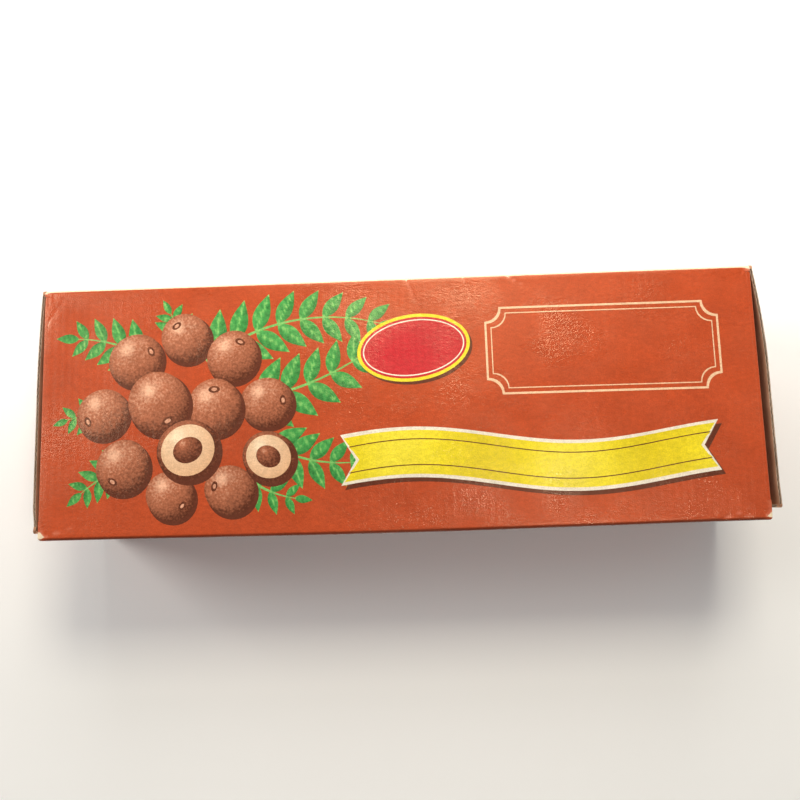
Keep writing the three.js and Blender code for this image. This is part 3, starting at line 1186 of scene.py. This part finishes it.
def owners_of(centres, motifs, outlines):
    """The last printed motif that covers each place, or -1 for bare ground."""
    xs, ys = centres[:, 0], centres[:, 1]
    owners = np.full(len(centres), -1)
    for number, outline in enumerate(outlines):
        (low_x, low_y), (high_x, high_y) = outline.min(0), outline.max(0)
        near = np.flatnonzero((xs > low_x) & (xs < high_x) & (ys > low_y) & (ys < high_y))
        covered = np.zeros(len(near), bool)
        for (x0, y0), (x1, y1) in zip(outline, np.roll(outline, -1, axis=0)):
            if y0 != y1:
                crosses = (y0 > ys[near]) != (y1 > ys[near])
                covered ^= crosses & (xs[near] < x0 + (ys[near] - y0) * (x1 - x0) / (y1 - y0))
        owners[near[covered]] = -1 if motifs[number][0] == "ground" else number
    return owners


def inked_triangles(motifs):
    """The panel cut up along the motifs' outlines and the board's relief: its places, and the triangles
    that take ink, each with the number of the motif that is printed there."""
    low = Vector((-SHEET_END + PRINT_BORDER, -FOLD_Y + PRINT_BORDER))
    high = Vector((SHEET_END - PRINT_BORDER, FOLD_Y - PRINT_BORDER))
    flat = []
    for i in range(COLUMNS + 1):
        x = mix(-HALF_LENGTH, HALF_LENGTH, i / COLUMNS)
        if low.x < x < high.x:
            flat += [Vector((x, station[0])) for station in front_stations() if low.y < station[0] < high.y]
    outlines = [inside(outline, low, high) for _, outline, _ in motifs]
    edges = []
    for outline in outlines:
        first, count = len(flat), len(outline)
        edges += [(first + k, first + (k + 1) % count) for k in range(count)]
        flat += [Vector(point) for point in outline]
    found, _, triangles, _, _, _ = delaunay_2d_cdt(flat, edges, [], 0, 1e-5)
    places = np.array([tuple(point) for point in found])
    owners = owners_of(places[np.array(triangles)].mean(1), motifs, [np.array(o) for o in outlines])
    return found, [(corners, owner) for corners, owner in zip(triangles, owners) if owner >= 0]


def ink_skin(motifs, found, kept, inks):
    """A closed skin over the inked triangles: its points, its faces, their inks and their corners' shades."""
    used = sorted({corner for corners, _ in kept for corner in corners})
    renamed = {old: new for new, old in enumerate(used)}
    points = [front_height(found[old].x, found[old].y, lift) for lift in (INK_LIFT, INK_BASE) for old in used]
    faces, face_ink, shades = [], [], []
    edge_uses = {}
    for corners, owner in kept:
        ink_name, _, shade = motifs[owner]
        upper = [renamed[corner] for corner in corners]
        faces += [upper, [corner + len(used) for corner in reversed(upper)]]
        face_ink += [inks.index(ink_name)] * 2
        shades += [shade(found[corner].x, found[corner].y) for corner in corners] + [0.0] * 3
        for a, b in zip(upper, upper[1:] + upper[:1]):
            edge_uses.setdefault(frozenset((a, b)), []).append((a, b, face_ink[-1]))
    for uses in edge_uses.values():
        if len(uses) == 1:
            a, b, ink_number = uses[0]
            faces.append([b, a, a + len(used), b + len(used)])
            face_ink.append(ink_number)
            shades += [0.0] * 4
    return points, faces, face_ink, shades


def build_print():
    """Lays the design on the front panel as a thin skin of ink that follows the board's relief."""
    motifs = front_design().motifs
    inks = list(INKS)
    points, faces, face_ink, shades = ink_skin(motifs, *inked_triangles(motifs), inks)
    mesh = bpy.data.meshes.new("front_print")
    mesh.from_pydata([row_frame(*point) for point in points], [], faces)
    for name in inks:
        mesh.materials.append(ink(name, *INKS[name]))
    mesh.polygons.foreach_set("material_index", face_ink)
    mesh.attributes.new("shade", "FLOAT", "CORNER").data.foreach_set("value", shades)
    piece = link_piece("front_print", mesh)
    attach(piece, "sleeve")


# The stage: a pale floor, soft lights, and the camera where the photograph was taken.
FLOOR_HALF = 1.6
FLOOR_SQUARES = 12
FLOOR_DROP = 0.0001
CAMERA_PLACE = (6.6, -35.5, 324.0)
CAMERA_TURN = (7.85, 1.64, -1.70)


def build_floor():
    mesh = bpy.data.meshes.new("floor")
    count = FLOOR_SQUARES
    places = steps_between(-FLOOR_HALF, FLOOR_HALF, 2 * FLOOR_HALF / count)
    points = [(x, y, 0.0) for x in places for y in places]
    faces = []
    for i in range(count):
        for j in range(count):
            a = i * (count + 1) + j
            faces.append((a, a + count + 1, a + count + 2, a + 1))
    mesh.from_pydata(points, [], faces)
    mesh.materials.append(floor_material())
    floor = bpy.data.objects.new("floor", mesh)
    floor.location.z = -FLOOR_DROP
    bpy.context.scene.collection.objects.link(floor)


def add_light(name, place, target, size, power, colour=(1, 1, 1)):
    light = bpy.data.lights.new(name, "AREA")
    light.shape = "RECTANGLE"
    light.size, light.size_y = size
    light.energy = power
    light.color = colour
    lamp = bpy.data.objects.new(name, light)
    lamp.location = place
    lamp.rotation_euler = (Vector(target) - Vector(place)).to_track_quat("-Z", "Y").to_euler()
    bpy.context.scene.collection.objects.link(lamp)


def build_lights():
    add_light("key", (0.07, 0.38, 0.60), (0.02, 0.02, 0.06), (0.22, 0.18), 2.3, (1.0, 0.93, 0.76))
    add_light("window", (0.02, 0.27, 0.24), (0.01, 0.03, 0.06), (0.36, 0.16), 0.95, (1.0, 0.96, 0.90))
    add_light("fill", (-0.60, 0.22, 0.56), (-0.04, 0.0, 0.06), (0.3, 0.4), 2.4, (1.0, 0.96, 0.90))
    add_light("lamp", (0.15, -0.115, 0.56), (0.06, -0.04, 0.06), (0.08, 0.012), 0.34, (1.0, 0.95, 0.86))
    world = bpy.data.worlds.new("soft_room")
    world.use_nodes = True
    background = world.node_tree.nodes["Background"]
    background.inputs["Color"].default_value = (1.0, 1.0, 1.0, 1.0)
    background.inputs["Strength"].default_value = 0.24
    bpy.context.scene.world = world


def build_camera():
    camera = bpy.data.cameras.new("camera")
    camera.sensor_width = 36.0
    camera.lens = 36.0
    camera.clip_start = 0.01
    holder = bpy.data.objects.new("camera", camera)
    holder.location = [value * MM for value in CAMERA_PLACE]
    holder.rotation_euler = Euler([math.radians(turn) for turn in CAMERA_TURN], "XYZ")
    bpy.context.scene.collection.objects.link(holder)
    bpy.context.scene.camera = holder
    bpy.context.scene.view_settings.view_transform = "Standard"


build_camera()
build_floor()
build_lights()
build_tube()
for end, side in ENDS:
    build_closure(end, side)
    build_tuck_lip(end, side)
    for level in LEVELS:
        build_dust_flap(level, end, side)
build_print()
